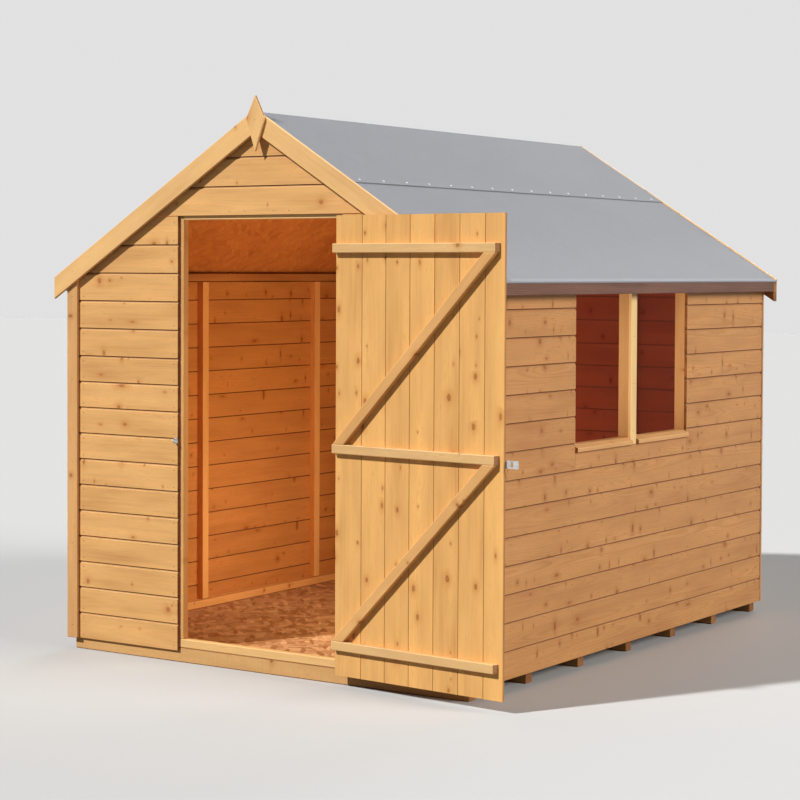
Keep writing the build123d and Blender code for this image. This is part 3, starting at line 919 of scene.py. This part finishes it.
def make_leaf():
    joints_x = [leaf_high.x - leaf_first_board]
    while joints_x[-1] - leaf_board_cover > leaf_low.x + 0.02:
        joints_x.append(joints_x[-1] - leaf_board_cover)
    edges = [leaf_low.x] + joints_x[::-1] + [leaf_high.x]
    mesh = Mesh(31)

    def place(along, across, out):
        return tuple(open_turn @ Vector((across, leaf_high.y - out, along)))

    for k in range(len(edges) - 1):
        rows = leaf_rows(edges[k], edges[k + 1], k == 0, k == len(edges) - 2)
        mesh.board(rows, lambda x: (leaf_low.z, leaf_high.z), place, 0, leaf_edge_shade)
    mesh.piece("leaf_boards", "door", door_wood, "door_timber", "door_boards")


# Timber and felt that keep the frame's shape, with eased edges

def dress(name, body, material, slot, arris, seed, *nodes, **shades):
    mesh = Mesh(seed, **shades)
    for node in nodes:
        mesh.dressed(frame["nodes"][node].data, arris)
    return mesh.piece(name, body, material, slot, *nodes)


# The slot and the eased edge of the commonest kinds
framing = ("framing_timber", 0.0012)
sheet = ("sheet_timber", 0.0008)
roofing = ("roofing_felt", 0.0009)

# Name, material, slot, eased edge, nodes, and shades where they aren't the usual ones
timbers = (
    ("floor_board", floor_sheet, *sheet, ["floor_deck"]),
    ("mullion_strip", pale_wood, "trim_timber", 0.0015, ["window_mullion_strip"]),
    ("sills", sill_wood, "trim_timber", 0.002, ["window_sills"]),
    ("mullion_post", frame_wood, *framing, ["window_mullion_post"]),
    # The head rail gets painted light, which the threshold rail below does not
    ("front_frame_rails", trim_wood, "framing_timber", 0.003, ["front_rails"], {"upper": 0.3}),
    ("front_frame_studs", frame_wood, *framing, ["front_studs"]),
    ("front_rafters", indoor_shaded_wood, *framing, ["front_rafter_left", "front_rafter_right"]),
    ("rear_frame_rail", indoor_shaded_wood, *framing, ["rear_bottom_rail"]),
    ("rear_frame_studs", indoor_shaded_wood, *framing, ["rear_studs"]),
    ("rear_rafters", indoor_shaded_wood, *framing, ["rear_rafter_left", "rear_rafter_right"]),
    ("left_frame_studs", lit_stud_wood, *framing, ["left_wall_studs"]),
    ("right_frame_rails", frame_wood, *framing, ["right_wall_rails"]),
    ("right_frame_studs", frame_wood, *framing, ["right_wall_studs"]),
    ("roof_board_left", roof_sheet, *sheet, ["roof_sheet_left"]),
    ("roof_board_right", roof_sheet, *sheet, ["roof_sheet_right"]),
    ("felt_slopes", felt, *roofing, ["roof_felt_slopes"]),
    ("felt_cap", felt, *roofing, ["roof_felt_cap"]),
    ("eave_strips", eave_wood, "eave_timber", 0.0015, ["eave_battens"]),
    ("purlins", indoor_shaded_wood, *framing, ["roof_purlins"]),
    ("barge_boards_front", trim_wood, "trim_timber", 0.002, ["barge_front_left", "barge_front_right"]),
    ("finial_board", trim_wood, "trim_timber", 0.0018, ["finial"]),
    ("corner_boards", corner_wood, "trim_timber", 0.0018, ["corner_strips"]),
)


def make_timbers():
    for seed, (name, material, slot, arris, nodes, *shades) in enumerate(timbers, 100):
        dress(name, "shed", material, slot, arris, seed, *nodes, **dict(*shades))
    # Painted shade: dark eased edges on the rails, and the top rail under the roof darker still
    dress(
        "left_frame_rails", "shed", lit_stud_wood, "framing_timber", 0.004, 45, "left_wall_rails",
        wear=-0.35, upper=-0.42,
    )
    # Painted shade along the bearers' eased edges
    dress("bearers", "shed", bearer_wood, "bearer_timber", 0.003, 43, "floor_bearers", wear=-0.35)
    # Painted shade on the rear barge boards' inner faces and ends, under the eaves
    dress(
        "barge_boards_rear", "shed", trim_wood, "trim_timber", 0.002, 44,
        "barge_rear_left", "barge_rear_right", ends=-0.68, front=-0.55,
    )
    dress("ledges", "door", ledge_wood, "door_timber", 0.0028, 41, "door_ledges", under=0)
    dress("braces", "door", brace_wood, "door_timber", 0.0024, 42, "door_braces", under=0)


def make_verge_laths():
    """A lath on each rear barge board, which stands a little over the edge of the felt."""
    barge_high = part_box("barge_rear_right")[1]
    felt_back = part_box("roof_felt_slopes")[1].y
    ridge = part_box("roof_felt_cap")[1].z
    laths = Mesh(46)
    for side in (-1, 1):
        outline = [
            (0, barge_high.z), (side * felt_edge, barge_high.z - slope * felt_edge),
            (side * felt_edge, ridge + lath_rise - slope * felt_edge), (0, ridge + lath_rise),
        ]
        points = [(x, y, z) for y in (felt_back, barge_high.y - lath_back) for x, z in outline]
        faces = [(0, 1, 2, 3), (4, 5, 6, 7)]
        faces += [(k, (k + 1) % 4, (k + 1) % 4 + 4, k + 4) for k in range(4)]
        lath = bpy.data.meshes.new("lath outline")
        lath.from_pydata(points, [], faces)
        laths.dressed(lath, lath_arris)
    laths.piece("verge_laths", "shed", trim_wood, "trim_timber")


def finish_metal_and_glass():
    for node, material in (
        ("hinge_plates", zinc), ("hasp_staple", zinc), ("hinge_straps", zinc), ("hasp_strap", zinc),
        ("window_panes", glazing),
    ):
        solid = frame["nodes"][node]
        solid.data.materials.clear()
        solid.data.materials.append(material)


# Nails, screws and clouts

class Heads:
    """Gathers the low round heads of one kind of fixing."""

    def __init__(self, radius, height):
        self.radius = radius
        self.height = height
        self.points = []
        self.faces = []

    def add(self, spot, outward):
        outward = Vector(outward).normalized()
        side = outward.orthogonal().normalized()
        other = outward.cross(side)
        first = len(self.points)
        for rise, share in ((-head_sunk, 1.0), (0.5 * self.height, 1.0), (self.height, 0.6)):
            for k in range(head_sides):
                turn = 2 * math.pi * k / head_sides
                across = side * math.cos(turn) + other * math.sin(turn)
                self.points.append(Vector(spot) + across * self.radius * share + outward * rise)
        for ring in (0, head_sides):
            for k in range(head_sides):
                a, b = first + ring + k, first + ring + (k + 1) % head_sides
                self.faces.append((a, b, b + head_sides, a + head_sides))
        last = first + 2 * head_sides
        self.faces.append(tuple(last + k for k in range(head_sides)))

    def piece(self, name, body, material, turn=None):
        mesh = bpy.data.meshes.new(name)
        points = [turn @ p for p in self.points] if turn else self.points
        mesh.from_pydata([tuple(p) for p in points], [], self.faces)
        return shown(name, mesh, body, material, "galvanised_steel")


def board_nails(nails, top, gable, low, high, spots):
    """Two nails in each board of a wall, at each of the given spots between two heights."""
    heights = joints(top, gable)
    for bottom, over in zip(heights, heights[1:]):
        if bottom < low - touch or over > high + touch:
            continue
        for share in nail_shares:
            for spot, outward in spots(bottom + share * (over - bottom)):
                nails.add(spot, outward)


def make_wall_nails():
    nails = Heads(nail_radius, nail_height)
    for end in (-1, 1):
        def gable_spots(z, end=end):
            reach = under_roof(z) - nail_from_end
            places = [x for x in (-reach, reach) if reach > narrow_gable]
            if end == 1:
                places += [x for x in (-gable_stud, gable_stud) if gable_stud < reach - narrow_gable]
            elif z < doorway_top:
                places += [doorway_left - nail_in, doorway_right + nail_in]
            return [((x, end * half_depth, z), (0, end, 0)) for x in places]
        board_nails(nails, apex, True, boards_bottom, apex, gable_spots)
    for x in head_nails:
        nails.add((x, -half_depth, doorway_top + head_nail_up), (0, -1, 0))
    windows_low, windows_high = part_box("window_apron_board")
    corner = inner_y - stud_middle

    def left_spots(z):
        return [((-half_width, y, z), (-1, 0, 0)) for y in (-corner, -side_stud, side_stud, corner)]

    def right_spots(z):
        places = (-corner, windows_low.y - stud_middle, windows_high.y + stud_middle, corner)
        return [((half_width, y, z), (1, 0, 0)) for y in places]

    board_nails(nails, eave_outside, False, boards_bottom, eave_outside, left_spots)
    board_nails(nails, eave_outside, False, boards_bottom, eave_outside, right_spots)
    strip_low, strip_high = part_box("corner_strips")
    middle = half_width - strip_middle
    for face, outward in ((strip_low.y, -1), (strip_high.y, 1)):
        for side in (-1, 1):
            for k in range(5):
                z = strip_low.z + strip_nail_first + strip_nail_step * k
                nails.add((side * middle, face, z), (0, outward, 0))
    finial_low, finial_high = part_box("finial")
    centre = (finial_low + finial_high) / 2
    nails.add((centre.x, finial_low.y, centre.z + finial_nail_up), (0, -1, 0))
    mullion_low, mullion_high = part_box("window_mullion_strip")
    for share in mullion_nails:
        z = mullion_low.z + share * (mullion_high.z - mullion_low.z)
        nails.add((half_width, (mullion_low.y + mullion_high.y) / 2, z), (1, 0, 0))
    nails.piece("nails", "shed", nail_steel)


def make_clouts():
    clouts = Heads(clout_radius, clout_height)
    cap_low, cap_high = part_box("roof_felt_cap")
    pitch = math.atan(slope)
    reach = cap_high.x - clout_above_seam * math.cos(pitch)
    top = cap_high.z - slope * reach
    count = round((cap_high.y - cap_low.y) / clout_spacing)
    for side in (-1, 1):
        for k in range(count):
            y = cap_low.y + (k + 0.5) * (cap_high.y - cap_low.y) / count
            clouts.add((side * reach, y, top), (side * math.sin(pitch), 0, math.cos(pitch)))
    clouts.piece("felt_clouts", "shed", clout_zinc)


def make_leaf_fixings():
    leaf_nails = Heads(nail_radius, nail_height)
    leaf_screws = Heads(screw_radius, screw_height)
    wall_screws = Heads(screw_radius, screw_height)
    strap_end = closed_box("hinge_straps")[0].x
    plate_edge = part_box("hinge_plates")[1].x
    strap_face = leaf_low.y - sheet_metal
    plate_face = -half_depth - sheet_metal
    for middle in ledge_middles():
        for k in range(6):
            x = leaf_high.x - leaf_nail_first - k * leaf_board_cover
            for dx, dz in ((-leaf_nail_side, leaf_nail_drop), (leaf_nail_side, -leaf_nail_drop)):
                if x + dx < strap_end - 0.02:
                    leaf_nails.add((x + dx, leaf_low.y, middle + dz), (0, -1, 0))
        for share in strap_screws:
            x = leaf_high.x - share * (leaf_high.x - strap_end)
            leaf_screws.add((x, strap_face, middle), (0, -1, 0))
        for dz in plate_screws:
            wall_screws.add((plate_edge - plate_screw_in, plate_face, middle + dz), (0, -1, 0))
    hasp_low, hasp_high = closed_box("hasp_strap")
    for back in hasp_screws:
        leaf_screws.add((hasp_high.x - back, hasp_low.y, (hasp_low.z + hasp_high.z) / 2), (0, -1, 0))
    leaf_nails.piece("leaf_nails", "door", nail_steel, open_turn)
    leaf_screws.piece("leaf_screws", "door", zinc, open_turn)
    wall_screws.piece("hinge_plate_screws", "shed", zinc)


# Camera, light and floor

def make_camera():
    yaw, pitch, roll = (math.radians(a) for a in (camera_yaw, camera_pitch, camera_roll))
    level = Vector((-math.sin(yaw), math.cos(yaw), 0))
    right = Vector((math.cos(yaw), math.sin(yaw), 0))
    up = Vector((0, 0, 1))
    ahead = level * math.cos(pitch) - up * math.sin(pitch)
    above = up * math.cos(pitch) + level * math.sin(pitch)
    rolled_right = right * math.cos(roll) + above * math.sin(roll)
    rolled_up = above * math.cos(roll) - right * math.sin(roll)
    data = bpy.data.cameras.new("photo camera")
    data.sensor_width = 36
    data.lens = focal_pixels / picture_pixels * data.sensor_width
    data.shift_y = horizon_shift_pixels / picture_pixels
    data.clip_end = 200
    camera = bpy.data.objects.new("photo camera", data)
    turn = Matrix((rolled_right, rolled_up, -ahead)).transposed().to_4x4()
    camera.matrix_world = Matrix.Translation(camera_place) @ turn
    bpy.context.scene.collection.objects.link(camera)
    bpy.context.scene.camera = camera


def new_light(name, kind, energy, colour, source):
    """A light that shines away from the direction source."""
    data = bpy.data.lights.new(name, kind)
    data.energy = energy
    data.color = colour
    light = bpy.data.objects.new(name, data)
    light.rotation_mode = "QUATERNION"
    light.rotation_quaternion = source.to_track_quat("Z", "Y")
    bpy.context.scene.collection.objects.link(light)
    return light


def make_sun(name, azimuth, elevation, strength, spread, colour):
    """Far light that comes from an azimuth and an elevation: 0 is the front, 90 the right."""
    a, e = math.radians(azimuth), math.radians(elevation)
    source = Vector((math.sin(a) * math.cos(e), -math.cos(a) * math.cos(e), math.sin(e)))
    sun = new_light(name, "SUN", strength, colour, source)
    sun.data.angle = math.radians(spread)


def make_lamp(name, place, outward, width, height, energy, colour, spread=180):
    """A soft lamp in the shed, for daylight that bounces about there. outward is where it shines."""
    lamp = new_light(name, "AREA", energy, colour, -Vector(outward))
    lamp.data.shape = "RECTANGLE"
    lamp.data.size, lamp.data.size_y = width, height
    lamp.data.spread = math.radians(spread)
    lamp.location = place
    lamp.visible_camera = False
    lamp.visible_glossy = False


def make_world():
    world = bpy.data.worlds.new("pale studio")
    bpy.context.scene.world = world
    n = Nodes("pale studio", world)
    light = n.new("ShaderNodeBackground", {"Color": (0.93, 0.96, 1.0), "Strength": world_light})
    backdrop = n.new("ShaderNodeBackground", {"Color": backdrop_grey, "Strength": 1.0})
    mixed = n.mixed_shader(n.seen(), light.outputs[0], backdrop.outputs[0])
    n.new("ShaderNodeOutputWorld", {"Surface": mixed})


def make_floor():
    mesh = bpy.data.meshes.new("studio_floor")
    ways = ((-1, -1), (1, -1), (1, 1), (-1, 1))
    corners = [(x * floor_half, y * floor_half, -floor_drop) for x, y in ways]
    mesh.from_pydata(corners, [], [(0, 1, 2, 3)])
    mesh.materials.append(pale_floor())
    floor = bpy.data.objects.new("studio_floor", mesh)
    bpy.context.scene.collection.objects.link(floor)


make_walls()
make_leaf()
make_timbers()
make_verge_laths()
finish_metal_and_glass()
make_wall_nails()
make_clouts()
make_leaf_fixings()
make_camera()
make_sun("key light", -28, 40, 3.75, 3, (1.0, 0.97, 0.92))
make_sun("side fill", 98, 25, 2.3, 30, (1.0, 0.93, 0.85))
make_sun("rear fill", 190, 25, 0.9, 30, (1.0, 0.97, 0.94))
make_lamp("room light", (0.50, -0.35, 0.90), (-1, 0, -0.12), 0.9, 1.2, 13, (1.0, 0.82, 0.52))
for y in (-0.46, 0.02):
    make_lamp("window light", (0.893, y, 1.13), (0, 1, 0), 0.04, 0.6, 0.28, (1.0, 0.92, 0.80), 60)
make_world()
make_floor()
bpy.context.scene.view_settings.view_transform = "Standard"
